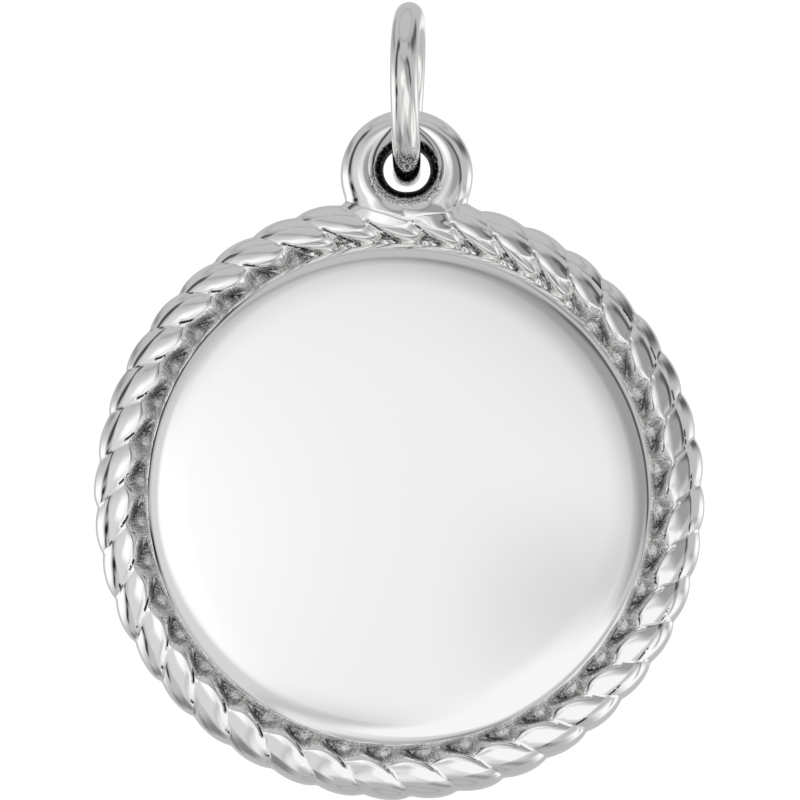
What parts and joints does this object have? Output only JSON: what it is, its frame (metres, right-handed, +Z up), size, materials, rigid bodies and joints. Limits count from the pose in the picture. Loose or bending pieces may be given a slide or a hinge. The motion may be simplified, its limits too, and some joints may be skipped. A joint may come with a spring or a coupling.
{
  "type": "round disc pendant with a rope border and a jump ring",
  "caption": "Round engravable disc pendant: a polished, slightly domed button in a twisted rope border, with a round eye on top and a jump ring through it.",
  "frame": {"origin": "the inside top of the jump ring, where the chain or bail that carries the pendant lies", "axes": "+X to the right across the disc, +Y from the polished front to the flat back, +Z up from the disc to the jump ring; the front faces -Y"},
  "size_m": [0.018, 0.0054, 0.0238],
  "materials": {
    "polished_silver": "mirror-polished sterling silver, with a grainy unpolished recess between the button and the rope border",
    "silver_wire": "drawn and polished sterling silver wire"
  },
  "bodies": {
    "carrier": {"jump_ring": "silver_wire"},
    "pendant": {"charm": "polished_silver"}
  },
  "joints": [
    {"name": "charm_swing", "type": "hinge", "parent": "carrier", "child": "pendant", "pos_m": [0, 0, -0.00424], "axis": [0, 1, 0], "range_deg": [-90, 90]}
  ]
}
